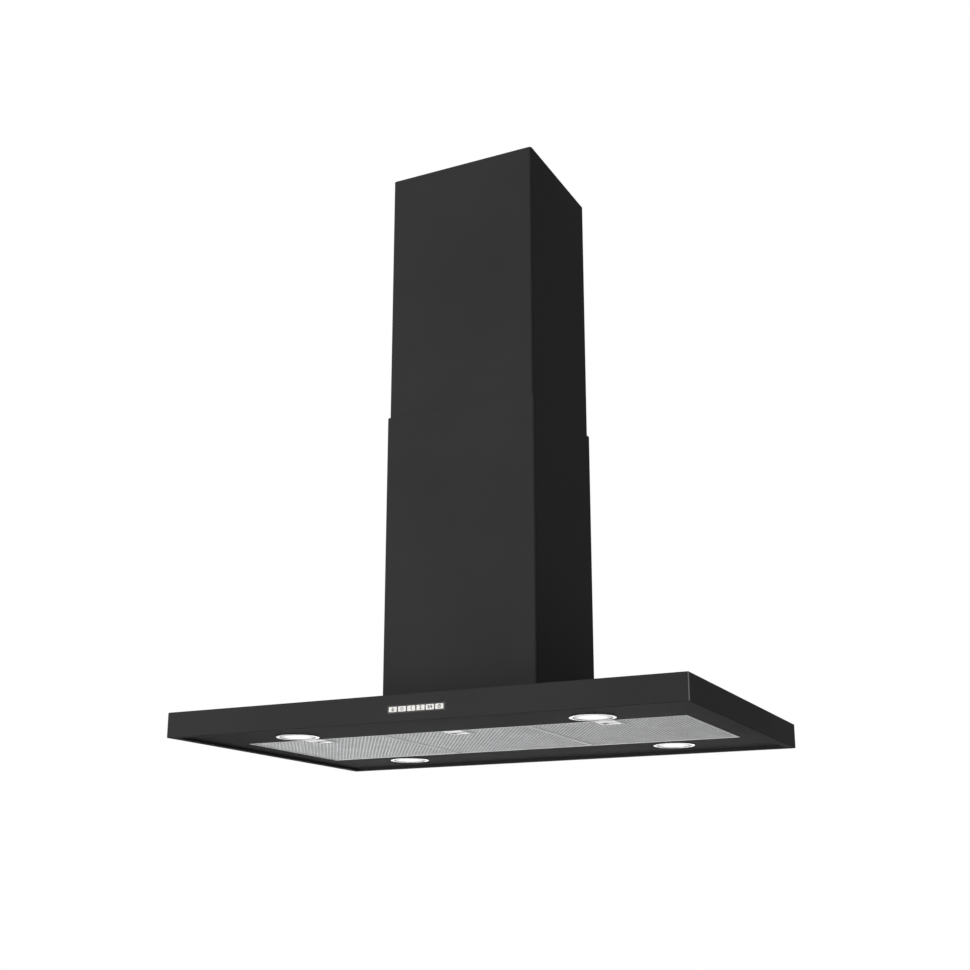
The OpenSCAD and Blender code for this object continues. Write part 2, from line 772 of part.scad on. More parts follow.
// Screws of the outlet collar and of the motor bracket
module fan_screws() color(silver) {
    for (p = collar_screw_places)
        translate([p[0], p[1], box_top_z + collar_t])
            screw(screw_r, collar_t + box_t + fan_screw_end, screw_head_r, screw_head_h);
    for (a = bracket_angles)
        translate([fan_x + bracket_screw_r * cos(a), scroll_w / 2 + bracket_t,
            fan_z + bracket_screw_r * sin(a)]) rotate([-90, 0, 0])
            screw(screw_r, bracket_t + scroll_t, screw_head_r, screw_head_h);
}

// Gland on the motor box's top, which the supply cable passes through
module cable_gland() color(dark_plastic)
    translate([gland_x, gland_y, box_top_z]) difference() {
        union() {
            cylinder(r = gland_r, h = gland_nut_h, $fn = 6);
            translate([0, 0, gland_nut_h]) cylinder(r = gland_stem_r, h = gland_nut_h);
            translate([0, 0, -box_t - gland_nut_h / 2]) cylinder(r = gland_stem_r, h = box_t + gland_nut_h);
        }
        translate([0, 0, -gland_nut_h]) cylinder(r = gland_bore_r, h = 4 * gland_nut_h);
    }

// Tray for the control electronics, and its lid
module control_box() color(zinc_steel)
    translate([control_x, control_y, panel_top_z]) difference() {
        translate([-control_w / 2, -control_d / 2, 0]) cube([control_w, control_d, control_h]);
        translate([-control_w / 2 + control_t, -control_d / 2 + control_t, control_t])
            cube([control_w - 2 * control_t, control_d - 2 * control_t, control_h]);
    }
module control_lid() color(zinc_steel)
    translate([control_x - control_w / 2, control_y - control_d / 2, panel_top_z + control_h])
        cube([control_w, control_d, control_t]);

// Wire along straight runs, with round bends between them
module wire_run(points) {
    for (i = [1:len(points) - 1]) {
        d = points[i] - points[i - 1];
        translate(points[i - 1]) rotate([0, acos(d.z / norm(d)), atan2(d.y, d.x)])
            cylinder(r = wire_r, h = norm(d), $fn = 24);
    }
    for (i = [1:len(points) - 2]) translate(points[i]) sphere(wire_r, $fn = 24);
}

// Wires from the control box to the lamps, the gland and the switch board
module wire_loom() color(dark_plastic) {
    box_left = control_x - control_w / 2;
    box_right = control_x + control_w / 2;
    wire_run([[box_left - wire_end_gap, -lamp_y, wire_z], [-lamp_x, -lamp_y, wire_z],
        [-side_run_x, -lamp_y, wire_z], [-side_run_x, lamp_y, wire_z], [-lamp_x, lamp_y, wire_z],
        [-lamp_x, lamp_y, lamp_wire_z]]);
    wire_run([[box_right + wire_end_gap, -lamp_y, wire_z], [lamp_x, -lamp_y, wire_z],
        [side_run_x, -lamp_y, wire_z], [side_run_x, lamp_y, wire_z], [lamp_x, lamp_y, wire_z],
        [lamp_x, lamp_y, lamp_wire_z]]);
    for (x = [-1, 1])
        translate([x * lamp_x, -lamp_y, lamp_wire_z])
            cylinder(r = wire_r, h = wire_z - lamp_wire_z, $fn = 24);
    supply_z = canopy_top_z - canopy_t - wire_r - fit;
    rise_y = control_y + control_d / 2 + wire_bend;
    supply_x = control_x + supply_shift;
    wire_run([[supply_x, control_y + control_d / 2 + wire_end_gap, wire_z], [supply_x, rise_y, wire_z],
        [supply_x, rise_y, supply_z], [gland_x, gland_y, supply_z],
        [gland_x, gland_y, box_top_z + 2 * gland_nut_h]]);
    board_x = button_shift - switch_w / 2 + wire_bend;
    wire_run([[board_x, frame_back_y + board_t + wire_end_gap, button_z],
        [board_x, control_y, button_z], [box_right + wire_end_gap, control_y, button_z]]);
}

// Frame of the buttons: a flush bezel and a housing behind the rim
module button_places()
    for (i = [0:buttons - 1])
        translate([button_shift + (i - (buttons - 1) / 2) * button_pitch, 0, button_z]) children();
module switch_frame() color(dark_plastic)
    difference() {
        translate([button_shift, 0, button_z]) {
            along_y(rim_y, rim_y + canopy_t + over) square([switch_w, switch_h], center = true);
            along_y(rim_y + canopy_t, frame_back_y) difference() {
                square([switch_w + 2 * frame_lip, switch_h + 2 * frame_lip], center = true);
                square([switch_w + 2 * (frame_lip - frame_plate_t),
                    switch_h + 2 * (frame_lip - frame_plate_t)], center = true);
            }
            along_y(rim_y + canopy_t, rim_y + canopy_t + frame_plate_t)
                square([switch_w + 2 * frame_lip, switch_h + 2 * frame_lip], center = true);
        }
        button_places() along_y(rim_y - over, rim_y + canopy_t + frame_plate_t + over)
            round_rect(button_w + 2 * fit, button_h + 2 * fit, button_round + fit);
    }

// Board behind the buttons, with a small switch for each
module switch_board() color(board_green) {
    translate([button_shift, 0, button_z]) along_y(frame_back_y, frame_back_y + board_t)
        square([switch_w + 2 * frame_lip, switch_h + 2 * frame_lip], center = true);
    button_places() along_y(frame_back_y - switch_len, frame_back_y)
        square([switch_size, switch_size], center = true);
}

// One button: its cap, a flange that keeps it in and a stem to its switch
module button(i) color(button_white)
    translate([button_shift + (i - (buttons - 1) / 2) * button_pitch, 0, button_z]) {
        flange_y = rim_y + canopy_t + frame_plate_t + fit;
        along_y(rim_y - button_proud, flange_y) round_rect(button_w, button_h, button_round);
        along_y(flange_y, flange_y + button_flange_t)
            square([button_w, button_h + 2 * button_flange], center = true);
        along_y(flange_y + button_flange_t, stem_end_y) circle(stem_r);
    }

// Room that a latch's housing takes in its filter
module latch_housing_block(extra)
    translate([-housing_w / 2 - extra, front_y, panel_z])
        cube([housing_w + 2 * extra, housing_d + extra, filter_t]);

// Filter frame: folded flanges, a round rear edge and the latch's housing
module filter_frame(i) color(silver)
    translate([i * filter_pitch, 0, 0]) difference() {
        union() {
            difference() {
                union() {
                    translate([-filter_w / 2, front_y, panel_z])
                        cube([filter_w, hinge_y - front_y, filter_t]);
                    translate([-filter_w / 2, hinge_y, hinge_z]) rotate([0, 90, 0])
                        cylinder(r = filter_t / 2, h = filter_w);
                }
                translate([-filter_w / 2 + skin_t, front_y + skin_t, panel_z + skin_t])
                    cube([filter_w - 2 * skin_t, mesh_end_y - front_y - skin_t, mesh_t]);
                translate([-filter_w / 2 + border_w, front_y + border_w, panel_z - over])
                    cube([filter_w - 2 * border_w, mesh_end_y - front_y - border_w - skin_t,
                        filter_t + 2 * over]);
            }
            latch_housing_block(0);
        }
        translate([-pocket_w / 2, front_y + skin_t, panel_z - over])
            cube([pocket_w, pocket_d, wing_z - panel_z + over]);
        translate([-wing_room_w / 2, front_y + skin_t, wing_z - fit / 2])
            cube([wing_room_w, pocket_d, latch_wing_t + latch_slack + fit / 2]);
        translate([-tongue_w / 2 - 2 * fit, front_y - over, wing_z - fit / 2])
            cube([tongue_w + 4 * fit, skin_t + 2 * over, latch_wing_t + latch_slack]);
    }

// Filter net: square gaps in even rows and columns
module filter_mesh(i) color(silver)
    translate([i * filter_pitch, 0, 0]) difference() {
        net_w = filter_w - 2 * skin_t - 2 * fit;
        net_y0 = front_y + skin_t + fit;
        net_d = mesh_end_y - fit - net_y0;
        gap_w = (net_w - 2 * border_w - strand_w) / net_count - strand_w;
        gap_d = (net_d - 2 * border_w - strand_w) / net_count - strand_w;
        translate([-net_w / 2, net_y0, panel_z + skin_t]) linear_extrude(mesh_t) difference() {
            square([net_w, net_d]);
            for (c = [0:net_count - 1], r = [0:net_count - 1])
                translate([border_w + strand_w + c * (gap_w + strand_w),
                    border_w + strand_w + r * (gap_d + strand_w)]) square([gap_w, gap_d]);
        }
        latch_housing_block(fit);
    }

// Slide latch: a plate with a finger recess, two wings and a tongue
module latch(i) color(silver)
    translate([i * filter_pitch, 0, 0]) {
        latch_y = front_y + skin_t + latch_slack;
        difference() {
            union() {
                translate([-latch_w / 2, latch_y, panel_z - latch_proud])
                    cube([latch_w, latch_d, wing_z + latch_wing_t - panel_z + latch_proud]);
                translate([-latch_w / 2 - latch_wing, latch_y, wing_z])
                    cube([latch_w + 2 * latch_wing, latch_d, latch_wing_t]);
            }
            translate([-finger_w / 2, latch_y + latch_d - finger_wall - finger_d,
                panel_z - latch_proud - over])
                cube([finger_w, finger_d, finger_h + over]);
        }
        translate([-tongue_w / 2, front_y - tongue_reach, wing_z])
            cube([tongue_w, latch_y - front_y + tongue_reach + over, latch_wing_t - latch_slack]);
    }

// The four lamp housings: bezel, tube, roof and the step that the lens rests on
module lamp_housings() color(silver)
    for (sx = [-1, 1], sy = [-1, 1]) translate([sx * lamp_x, sy * lamp_y, panel_z]) rotate_extrude() {
        translate([lens_r + fit, -bezel_t]) square([bezel_r - lens_r - fit, bezel_t]);
        translate([lamp_tube_r - lamp_wall, -bezel_t / 2]) square([lamp_wall, lamp_h + bezel_t / 2]);
        translate([seat_r, lens_t - bezel_t + lens_inset])
            square([lamp_tube_r - seat_r - lamp_wall / 2, lamp_wall]);
        translate([0, lamp_h]) square([lamp_tube_r, lamp_wall]);
    }

// The four lenses
module lamp_lenses() color("white")
    for (sx = [-1, 1], sy = [-1, 1])
        translate([sx * lamp_x, sy * lamp_y, panel_z - bezel_t + lens_inset])
            cylinder(r = lens_r, h = lens_t);

// The four lamp boards, each with a ring of light sources
module lamp_boards() color(board_green)
    for (sx = [-1, 1], sy = [-1, 1])
        translate([sx * lamp_x, sy * lamp_y, panel_z + lamp_h - board_t]) {
            cylinder(r = led_board_r, h = board_t);
            for (k = [0:leds - 1]) rotate([0, 0, k * 360 / leds])
                translate([led_ring_r - led_w / 2, -led_w / 2, -led_h])
                    cube([led_w, led_w, led_h + board_t / 2]);
        }

// Leaf clips that hold the lamps in the panel, two on each
module lamp_clips() color(silver)
    for (sx = [-1, 1], sy = [-1, 1], turn = [0, 180])
        translate([sx * lamp_x, sy * lamp_y, panel_z]) rotate([0, 0, turn])
            along_y(-clip_w / 2, clip_w / 2)
                polygon([[lamp_tube_r, clip_top + 2 * clip_t], [lamp_tube_r, clip_top - clip_t],
                    [lamp_tube_r + clip_reach, panel_t],
                    [lamp_tube_r + clip_reach + 2 * clip_t, panel_t + clip_t],
                    [lamp_tube_r + clip_reach + clip_t / 2, panel_t + 3 * clip_t / 2],
                    [lamp_tube_r + clip_t, clip_top + 2 * clip_t]]);

ceiling_plate();
upper_upright(-1, -1);  // upper_upright_front_left
upper_upright(1, -1);  // upper_upright_front_right
upper_upright(-1, 1);  // upper_upright_rear_left
upper_upright(1, 1);  // upper_upright_rear_right
upper_chimney_front();
upper_chimney_rear();
upper_chimney_screws();
lower_upright(-1, -1);  // lower_upright_front_left
lower_upright(1, -1);  // lower_upright_front_right
lower_upright(-1, 1);  // lower_upright_rear_left
lower_upright(1, 1);  // lower_upright_rear_right
frame_screws();
frame_nuts();
body_screws();
canopy_shell();
underside_panel();
filter_rail_front();
filter_rail_rear();
motor_box();
scroll_front();
scroll_rear();
motor();
motor_bracket();
outlet_collar();
fan_screws();
cable_gland();
control_box();
control_lid();
wire_loom();
switch_frame();
switch_board();
lamp_housings();
lamp_lenses();
lamp_boards();
lamp_clips();
lower_chimney_front();
lower_chimney_rear();
lower_chimney_screws();
impeller_hub();
impeller_blades();
impeller_rings();
motor_shaft();
damper_flap_left();
damper_flap_right();
button(0);  // button_light
button(1);  // button_fan
button(2);  // button_speed_1
button(3);  // button_speed_2
button(4);  // button_speed_3
button(5);  // button_timer
filter_frame(-1);  // filter_frame_left
filter_frame(0);  // filter_frame_centre
filter_frame(1);  // filter_frame_right
filter_mesh(-1);  // filter_mesh_left
filter_mesh(0);  // filter_mesh_centre
filter_mesh(1);  // filter_mesh_right
latch(-1);  // latch_left
latch(0);  // latch_centre
latch(1);  // latch_right
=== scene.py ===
# Ceiling-hung range hood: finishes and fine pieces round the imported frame.
import json
import math

import bmesh
import bpy
from mathutils import Matrix, Vector


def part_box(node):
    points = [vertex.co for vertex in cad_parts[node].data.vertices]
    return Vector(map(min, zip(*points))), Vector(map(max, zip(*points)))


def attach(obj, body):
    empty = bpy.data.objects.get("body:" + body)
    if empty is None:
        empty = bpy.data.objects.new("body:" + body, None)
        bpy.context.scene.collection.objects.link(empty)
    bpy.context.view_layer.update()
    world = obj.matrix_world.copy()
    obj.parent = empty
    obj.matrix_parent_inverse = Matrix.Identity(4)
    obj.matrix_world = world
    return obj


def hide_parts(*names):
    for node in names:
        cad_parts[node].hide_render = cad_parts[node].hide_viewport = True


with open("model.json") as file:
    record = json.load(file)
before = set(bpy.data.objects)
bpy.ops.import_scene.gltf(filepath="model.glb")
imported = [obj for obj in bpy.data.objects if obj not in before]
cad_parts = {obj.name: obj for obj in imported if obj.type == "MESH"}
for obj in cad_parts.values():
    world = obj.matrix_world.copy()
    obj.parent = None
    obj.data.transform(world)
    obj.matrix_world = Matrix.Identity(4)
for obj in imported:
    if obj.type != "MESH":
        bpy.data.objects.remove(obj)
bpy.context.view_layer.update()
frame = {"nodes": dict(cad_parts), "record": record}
nodes = frame["nodes"]
record = frame["record"]
bodyOfNode = {node: body for body, members in record["behaviour"]["bodies"].items() for node in members}
slotOfNode = {row["node"]: row["material_slot"] for row in record["subparts"]}
mm = 0.001
print("stage: frame loaded,", len(nodes), "nodes")


def intoScene(thing):
    bpy.context.scene.collection.objects.link(thing)


# Camera, at the photograph's viewing angle
cameraSettings = {
    "pixels": 970,
    "focalPixels": 1362.5,
    "shiftPixels": 65,
    "sensor": 36.0,
    "place": (1.0156, -2.0924, -1.3272),
    "yaw": -0.4558,
    "pitch": 0.2638,
}


def makeCamera(s):
    data = bpy.data.cameras.new("photoCamera")
    data.sensor_width = s["sensor"]
    data.lens = s["focalPixels"] * s["sensor"] / s["pixels"]
    data.shift_y = s["shiftPixels"] / s["pixels"]
    camera = bpy.data.objects.new("photoCamera", data)
    intoScene(camera)
    flat = math.cos(s["pitch"])
    forward = Vector((math.sin(s["yaw"]) * flat, math.cos(s["yaw"]) * flat, math.sin(s["pitch"])))
    camera.location = s["place"]
    camera.rotation_euler = forward.to_track_quat("-Z", "Y").to_euler()
    bpy.context.scene.camera = camera


makeCamera(cameraSettings)


# Node helpers
def feed(tree, socket, source):
    if isinstance(source, bpy.types.NodeSocket):
        tree.links.new(source, socket)
    else:
        socket.default_value = source


def addNode(tree, kind, inputs=None, **settings):
    node = tree.nodes.new("ShaderNode" + kind)
    for key, value in settings.items():
        setattr(node, key, value)
    for key, source in (inputs or {}).items():
        feed(tree, node.inputs[key], source)
    return node


surfaceOutputs = {"Color": "Color", "Roughness": "Float", "Height": "Float"}


def shaderGroup(name, inputs, outputs=surfaceOutputs):
    tree = bpy.data.node_groups.new(name, "ShaderNodeTree")
    for label, (kind, value) in inputs.items():
        socket = tree.interface.new_socket(name=label, in_out="INPUT", socket_type="NodeSocket" + kind)
        socket.default_value = value
    for label, kind in outputs.items():
        tree.interface.new_socket(name=label, in_out="OUTPUT", socket_type="NodeSocket" + kind)
    return tree, tree.nodes.new("NodeGroupInput").outputs, tree.nodes.new("NodeGroupOutput").inputs


def shadeBetween(tree, factor, tone, span):
    darker, lighter = [
        addNode(tree, "VectorMath", {0: tone, 1: (share,) * 3}, operation="MULTIPLY").outputs[0]
        for share in span]
    mix = addNode(tree, "Mix", {0: factor, 6: darker, 7: lighter}, data_type="RGBA")
    return mix.outputs[2]


def remap(tree, value, low=0.0, high=1.0, fromLow=0.3, fromHigh=0.7):
    keys = {0: value, 1: fromLow, 2: fromHigh, 3: low, 4: high}
    return addNode(tree, "MapRange", keys).outputs[0]


# Sprayed or moulded skin: fine peel, with a slow drift of tone and gloss
peelSkin = {"speckScale": 2600.0, "driftTone": (0.93, 1.07), "speckTone": (0.94, 1.06)}


def makePeelGroup(s):
    tree, given, result = shaderGroup(
        "peelSkin",
        {"Tone": ("Color", (0.5, 0.5, 0.5, 1)), "Grain": ("Float", 700.0), "Drift": ("Float", 4.0),
         "Gloss low": ("Float", 0.4), "Gloss high": ("Float", 0.5)})
    place = addNode(tree, "TexCoord").outputs["Object"]
    peel = addNode(tree, "TexNoise", {"Vector": place, "Scale": given["Grain"], "Detail": 2.0})
    drift = addNode(tree, "TexNoise", {"Vector": place, "Scale": given["Drift"], "Detail": 3.0})
    speck = addNode(tree, "TexNoise", {"Vector": place, "Scale": s["speckScale"], "Detail": 1.0})
    tone = shadeBetween(tree, remap(tree, drift.outputs[0]), given["Tone"], s["driftTone"])
    feed(tree, result["Color"], shadeBetween(tree, remap(tree, speck.outputs[0]), tone, s["speckTone"]))
    feed(tree, result["Roughness"], remap(tree, drift.outputs[0], given["Gloss low"], given["Gloss high"]))
    feed(tree, result["Height"], peel.outputs[0])
    return tree


# Rolled or brushed metal: long fine streaks with broad smears
streakedMetal = {"smearScale": 14.0, "streakTone": (0.88, 1.08), "smearTone": (0.95, 1.03)}


def makeStreakGroup(s):
    tree, given, result = shaderGroup(
        "streakedMetal",
        {"Tone": ("Color", (0.6, 0.6, 0.6, 1)), "Stretch": ("Vector", (1, 40, 40)),
         "Grain": ("Float", 60.0), "Gloss low": ("Float", 0.25), "Gloss high": ("Float", 0.4)})
    place = addNode(tree, "TexCoord").outputs["Object"]
    long = addNode(tree, "Mapping", {"Vector": place, "Scale": given["Stretch"]}).outputs[0]
    streak = addNode(tree, "TexNoise", {"Vector": long, "Scale": given["Grain"], "Detail": 4.0})
    smear = addNode(tree, "TexNoise", {"Vector": place, "Scale": s["smearScale"], "Detail": 3.0})
    tone = shadeBetween(tree, remap(tree, streak.outputs[0]), given["Tone"], s["streakTone"])
    feed(tree, result["Color"], shadeBetween(tree, remap(tree, smear.outputs[0]), tone, s["smearTone"]))
    feed(tree, result["Roughness"], remap(tree, smear.outputs[0], given["Gloss low"], given["Gloss high"]))
    feed(tree, result["Height"], streak.outputs[0])
    return tree


# Zinc dipped sheet: crystals of slightly different grey
zincSpangle = {"warpScale": 60.0, "warpReach": 0.006, "cloudScale": 9.0, "crystalTone": (0.8, 1.12),
               "cloudTone": (0.92, 1.04), "gloss": (0.44, 0.6)}


def makeSpangleGroup(s):
    tree, given, result = shaderGroup(
        "zincSpangle",
        {"Tone": ("Color", (0.6, 0.6, 0.6, 1)), "Crystals": ("Float", 90.0)})
    place = addNode(tree, "TexCoord").outputs["Object"]
    warp = addNode(tree, "TexNoise", {"Vector": place, "Scale": s["warpScale"], "Detail": 2.0})
    reach = {0: warp.outputs[1], 1: (s["warpReach"],) * 3}
    push = addNode(tree, "VectorMath", reach, operation="MULTIPLY").outputs[0]
    moved = addNode(tree, "VectorMath", {0: place, 1: push}).outputs[0]
    cells = addNode(tree, "TexVoronoi", {"Vector": moved, "Scale": given["Crystals"]})
    each = addNode(tree, "SeparateColor", {0: cells.outputs["Color"]}).outputs[0]
    cloud = addNode(tree, "TexNoise", {"Vector": place, "Scale": s["cloudScale"], "Detail": 4.0})
    tone = shadeBetween(tree, each, given["Tone"], s["crystalTone"])
    feed(tree, result["Color"], shadeBetween(tree, remap(tree, cloud.outputs[0]), tone, s["cloudTone"]))
    feed(tree, result["Roughness"], remap(tree, each, *s["gloss"], 0.0, 1.0))
    feed(tree, result["Height"], cells.outputs["Distance"])
    return tree


# Expanded foil: bright on the filter's face, and darkened in its depth by a painted shade
layeredFoil = {"stretchScale": 130.0, "blotchScale": 22.0, "stretchTone": (0.78, 1.12),
               "blotchTone": (0.93, 1.05), "paintedDepthShade": (0.0, 1.0), "gloss": (0.32, 0.5)}


def makeFoilGroup(s):
    tree, given, result = shaderGroup(
        "layeredFoil",
        {"Tone": ("Color", (0.8, 0.8, 0.8, 1)), "Face": ("Float", 0.0), "Deep": ("Float", 0.001),
         "Shade": ("Float", 0.3)})
    place = addNode(tree, "TexCoord").outputs["Object"]
    height = addNode(tree, "SeparateXYZ", {0: place}).outputs[2]
    # painted shade: the colour darkens from the filter's face down into the net
    depth = remap(tree, height, 1.0, given["Shade"], given["Face"], given["Deep"])
    stretched = addNode(tree, "TexNoise", {"Vector": place, "Scale": s["stretchScale"], "Detail": 4.0})
    blotch = addNode(tree, "TexNoise", {"Vector": place, "Scale": s["blotchScale"], "Detail": 2.0})
    tone = shadeBetween(tree, remap(tree, stretched.outputs[0]), given["Tone"], s["stretchTone"])
    tone = shadeBetween(tree, remap(tree, blotch.outputs[0]), tone, s["blotchTone"])
    feed(tree, result["Color"], shadeBetween(tree, depth, tone, s["paintedDepthShade"]))
    feed(tree, result["Roughness"], remap(tree, stretched.outputs[0], *s["gloss"]))
    feed(tree, result["Height"], stretched.outputs[0])
    return tree


# Lit lens: its glow fades from the middle of each lamp to the ring, and its colour darkens with the glow, a
# painted shade
litLens = {"frostScale": 900.0, "glowTone": (0.0, 1.0), "lensShadeTone": (0.35, 1.0), "frostTone": (0.95, 1.0),
           "gloss": (0.4, 0.5)}


def makeLensGroup(s):
    tree, given, result = shaderGroup(
        "litLens",
        {"Tone": ("Color", (0.9, 0.9, 0.9, 1)), "Middle": ("Vector", (0.2, 0.2, 0)),
         "Bright": ("Float", 0.01), "Edge": ("Float", 0.03), "Fade": ("Float", 0.4)},
        dict(surfaceOutputs, Glow="Color"))
    place = addNode(tree, "TexCoord").outputs["Object"]
    quarter = addNode(tree, "VectorMath", {0: place}, operation="ABSOLUTE").outputs[0]
    away = addNode(tree, "VectorMath", {0: quarter, 1: given["Middle"]}, operation="SUBTRACT").outputs[0]
    flat = addNode(tree, "VectorMath", {0: away, 1: (1, 1, 0)}, operation="MULTIPLY").outputs[0]
    radius = addNode(tree, "VectorMath", {0: flat}, operation="LENGTH").outputs["Value"]
    frost = addNode(tree, "TexNoise", {"Vector": place, "Scale": s["frostScale"], "Detail": 2.0})
    fade = remap(tree, radius, 1.0, given["Fade"], given["Bright"], given["Edge"])
    feed(tree, result["Glow"], shadeBetween(tree, fade, given["Tone"], s["glowTone"]))
    # painted shade: the lens colour darkens towards the ring along with the glow
    glass = shadeBetween(tree, fade, given["Tone"], s["lensShadeTone"])
    feed(tree, result["Color"], shadeBetween(tree, remap(tree, frost.outputs[0]), glass, s["frostTone"]))
    feed(tree, result["Roughness"], remap(tree, frost.outputs[0], *s["gloss"]))
    feed(tree, result["Height"], frost.outputs[0])
    return tree


groups = {"peel": makePeelGroup(peelSkin), "streak": makeStreakGroup(streakedMetal),
          "spangle": makeSpangleGroup(zincSpangle), "foil": makeFoilGroup(layeredFoil),
          "lens": makeLensGroup(litLens)}


# One finish: a group's colour, roughness, bump and glow on a plain Principled shader
def finish(name, group, values, shader, bump, reach):
    material = bpy.data.materials.new(name)
    material.use_nodes = True
    tree = material.node_tree
    surface = tree.nodes["Principled BSDF"]
    effect = tree.nodes.new("ShaderNodeGroup")
    effect.node_tree = groups[group]
    for key, value in values.items():
        effect.inputs[key].default_value = value
    tree.links.new(effect.outputs["Color"], surface.inputs["Base Color"])
    tree.links.new(effect.outputs["Roughness"], surface.inputs["Roughness"])
    if "Glow" in effect.outputs:
        tree.links.new(effect.outputs["Glow"], surface.inputs["Emission Color"])
    keys = {"Height": effect.outputs["Height"], "Strength": bump, "Distance": reach}
    tree.links.new(addNode(tree, "Bump", keys).outputs[0], surface.inputs["Normal"])
    for key, value in shader.items():
        surface.inputs[key].default_value = value
    return material


def grey(level, warm=0.0):
    return (level * (1 + warm), level, level * (1 - warm), 1)


# Two finishes fade with the place: the lamp glow, with a painted shade on the lens colour, from the middle
# of each lamp, and a painted shade up from the lower face of the nets
lampRing = 36 * mm
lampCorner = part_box("lamp_housings")[1] - Vector((lampRing, lampRing, 0))
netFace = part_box("filter_mesh_centre")[0].z
finishes = {
    "black_steel": finish(
        "satinBlackPaint", "peel",
        {"Tone": grey(0.031), "Grain": 900.0, "Gloss low": 0.55, "Gloss high": 0.65},
        {"Specular IOR Level": 0.006}, bump=0.15, reach=0.04 * mm),
    "black_screws": finish(
        "blackenedSteel", "streak",
        {"Tone": grey(0.05), "Stretch": (1, 1, 1), "Grain": 900.0},
        {"Metallic": 0.6}, bump=0.1, reach=0.02 * mm),
    "galvanised_steel": finish(
        "spangledZinc", "spangle", {"Tone": grey(0.5, -0.01)},
        {"Metallic": 0.8}, bump=0.08, reach=0.05 * mm),
    "screw_steel": finish(
        "platedScrews", "streak",
        {"Tone": grey(0.62), "Stretch": (1, 1, 1), "Grain": 700.0},
        {"Metallic": 1.0}, bump=0.05, reach=0.02 * mm),
    "fan_plastic": finish(
        "mouldedFanPlastic", "peel",
        {"Tone": grey(0.055), "Grain": 1400.0, "Gloss low": 0.4, "Gloss high": 0.55},
        {}, bump=0.2, reach=0.04 * mm),
    "motor_paint": finish(
        "motorEnamel", "peel", {"Tone": (0.20, 0.21, 0.22, 1), "Grain": 500.0},
        {}, bump=0.15, reach=0.04 * mm),
    "black_plastic": finish(
        "mouldedBlackPlastic", "peel",
        {"Tone": grey(0.03), "Grain": 1500.0, "Gloss low": 0.35, "Gloss high": 0.45},
        {"Specular IOR Level": 0.15}, bump=0.15, reach=0.03 * mm),
    "wire_rubber": finish(
        "wireSleeve", "peel",
        {"Tone": grey(0.025), "Grain": 1200.0, "Gloss low": 0.5, "Gloss high": 0.65},
        {}, bump=0.2, reach=0.04 * mm),
    "circuit_board": finish(
        "solderMask", "streak",
        {"Tone": (0.03, 0.17, 0.07, 1), "Stretch": (1, 6, 1), "Grain": 260.0},
        {}, bump=0.15, reach=0.05 * mm),
    "lamp_metal": finish(
        "satinRing", "streak",
        {"Tone": grey(0.24), "Stretch": (1, 1, 12), "Grain": 300.0, "Gloss low": 0.18, "Gloss high": 0.28},
        {"Metallic": 1.0}, bump=0.05, reach=0.02 * mm),
    "damper_metal": finish(
        "plainAluminium", "streak",
        {"Tone": grey(0.72, -0.01), "Stretch": (30, 1, 30), "Grain": 60.0},
        {"Metallic": 1.0}, bump=0.08, reach=0.03 * mm),
    "button_plastic": finish(
        "offWhiteKeys", "peel",
        {"Tone": (0.64, 0.625, 0.6, 1), "Grain": 1600.0, "Drift": 40.0,
         "Gloss low": 0.3, "Gloss high": 0.4},
        {"Specular IOR Level": 0.3}, bump=0.08, reach=0.02 * mm),
    "filter_frame_metal": finish(
        "satinAluminium", "streak",
        {"Tone": grey(0.57, -0.01), "Stretch": (1, 40, 40), "Grain": 50.0,
         "Gloss low": 0.4, "Gloss high": 0.55},
        {"Metallic": 0.6}, bump=0.08, reach=0.03 * mm),
    # the net's colour darkens from Face to Deep, a painted shade
    "filter_mesh_metal": finish(
        "expandedAluminium", "foil",
        {"Tone": grey(0.58, -0.01), "Face": netFace + 0.3 * mm, "Deep": netFace + 1.4 * mm, "Shade": 0.06},
        {"Metallic": 0.9}, bump=0.1, reach=0.03 * mm),
    "latch_metal": finish(
        "polishedLatch", "streak",
        {"Tone": grey(0.6), "Stretch": (1, 30, 30), "Grain": 60.0, "Gloss low": 0.26, "Gloss high": 0.4},
        {"Metallic": 1.0}, bump=0.05, reach=0.02 * mm),
    "lamp_diffuser": finish(
        "litDiffuser", "lens",
        {"Tone": grey(0.9, 0.01), "Middle": (lampCorner.x, lampCorner.y, 0), "Bright": 13 * mm,
         "Edge": 29 * mm, "Fade": 0.12},
        {"Emission Strength": 0.95}, bump=0.1, reach=0.03 * mm),
}
# lighter, glossier paint for the canopy's upright corner folds: a painted highlight
foldHighlightPaint = finish(
    "paintedFoldHighlight", "peel",
    {"Tone": grey(0.17), "Grain": 900.0, "Gloss low": 0.35, "Gloss high": 0.45},
    {"Specular IOR Level": 0.1}, bump=0.1, reach=0.04 * mm)
printInk = finish(
    "keyPrint", "peel", {"Tone": grey(0.02), "Grain": 1500.0}, {}, bump=0.1, reach=0.02 * mm)
for name, node in nodes.items():
    node.data.materials.clear()
    node.data.materials.append(finishes[slotOfNode[name]])
print("stage: finishes made")


# Mesh helpers
sameSpot = 1e-6
flatDegrees = 0.4
foldDegrees = 50


def vertsOf(geom):
    return [g for g in geom if isinstance(g, bmesh.types.BMVert)]


def unitSquare(bm, width, height):
    verts = bmesh.ops.create_grid(bm, x_segments=1, y_segments=1, size=0.5)["verts"]
    bmesh.ops.scale(bm, verts=verts, vec=(width, height, 1))
    return verts


def turnAbout(axis, angle, bm, verts):
    bmesh.ops.rotate(bm, verts=verts, cent=(0, 0, 0), matrix=Matrix.Rotation(angle, 3, axis))


def sharpBy(bm, degrees):
    limit = math.radians(degrees)
    for face in bm.faces:
        face.smooth = True
    for edge in bm.edges:
        edge.smooth = len(edge.link_faces) == 2 and edge.calc_face_angle(0) < limit


